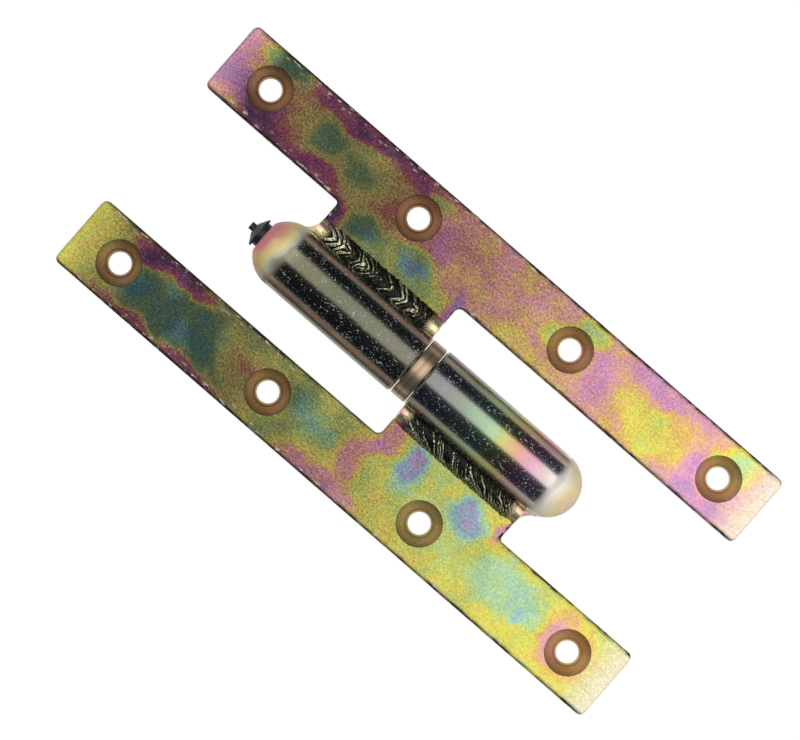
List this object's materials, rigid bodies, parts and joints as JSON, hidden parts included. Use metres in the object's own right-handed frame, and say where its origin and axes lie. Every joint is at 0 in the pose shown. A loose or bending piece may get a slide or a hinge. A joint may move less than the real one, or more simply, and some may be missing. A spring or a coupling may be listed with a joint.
{
  "type": "weld on barrel hinge",
  "caption": "Lift-off barrel hinge: two T-shaped countersunk leaves arc-welded to half barrels that turn on a steel pin, with a brass bearing ring and a grease plug in the end.",
  "frame": {"origin": "centre of the bearing ring, on the pin's axis", "axes": "+X along the pin into the barrel that holds it, +Z out of the countersunk faces, the frame half's leaf at -Y and the door half's leaf at +Y"},
  "size_m": [0.16, 0.071, 0.016],
  "materials": {
    "leaf": "yellow chromated zinc with rainbow tints over blanked sheet steel",
    "barrel": "yellow chromated zinc, glossy, over drawn bar",
    "weld": "chromated zinc over an arc weld, dark and rippled",
    "pin": "ground steel",
    "ring": "turned brass, satin",
    "plug": "moulded black plastic"
  },
  "bodies": {
    "frame_half": {"frame_leaf": "leaf", "frame_barrel": "barrel", "frame_weld": "weld", "hinge_pin": "pin"},
    "ring": {"bearing_ring": "ring"},
    "door_half": {"door_leaf": "leaf", "door_barrel": "barrel", "door_weld": "weld"},
    "plug": {"grease_plug": "plug"}
  },
  "joints": [
    {"name": "swing", "type": "hinge", "parent": "frame_half", "child": "ring", "pos_m": [0, 0, 0], "axis": [1, 0, 0], "range_deg": [-145, 180]},
    {"name": "lift_off", "type": "slide", "parent": "ring", "child": "door_half", "axis": [-1, 0, 0], "range_m": [0, 0.045]},
    {"name": "plug_pull", "type": "slide", "parent": "door_half", "child": "plug", "axis": [-1, 0, 0], "range_m": [0, 0.012]}
  ]
}
